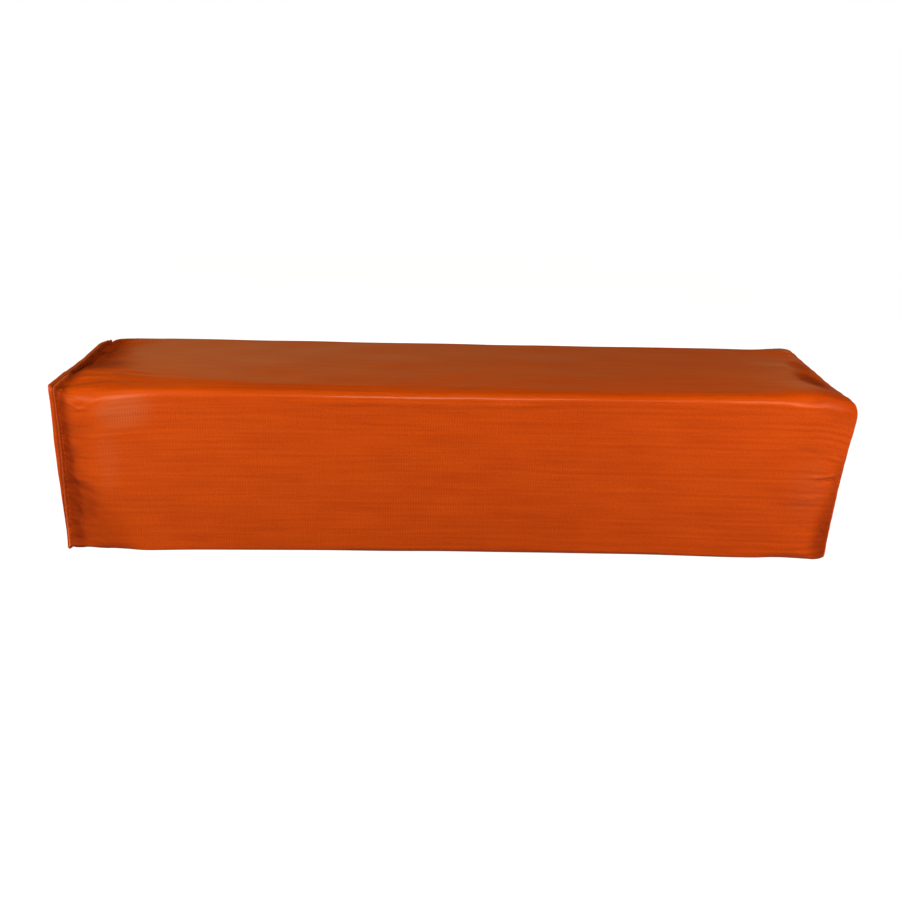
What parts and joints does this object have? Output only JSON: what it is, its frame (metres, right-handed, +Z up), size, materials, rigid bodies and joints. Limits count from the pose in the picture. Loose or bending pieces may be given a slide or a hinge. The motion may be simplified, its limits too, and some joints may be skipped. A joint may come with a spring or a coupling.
{
  "type": "football end zone pylon",
  "caption": "Square padded field marker: foam block and sand weight in a sewn vinyl cover, lying on its side, with a raised seam rim at its base end.",
  "frame": {"origin": "middle of the underside on which the pylon lies", "axes": "+X along the pylon to its top end, +Y to the back, +Z up; the sewn rim of the base end is at -X"},
  "size_m": [0.4572, 0.104, 0.1028],
  "materials": {
    "vinyl_cover": "satin",
    "seam_thread": "matte",
    "foam": "matte",
    "bag_canvas": "matte",
    "sand": "matte",
    "bag_tie": "satin"
  },
  "bodies": {
    "root": {"cover_sleeve": "vinyl_cover", "cover_top_panel": "vinyl_cover", "cover_base_panel": "vinyl_cover", "base_seam_needle_thread": "seam_thread", "base_seam_bobbin_thread": "seam_thread", "top_seam_thread": "seam_thread", "side_seam_thread": "seam_thread", "foam_core": "foam", "sand_bag": "bag_canvas", "sand_bag_tie": "bag_tie", "ballast_sand": "sand"}
  },
  "joints": []
}
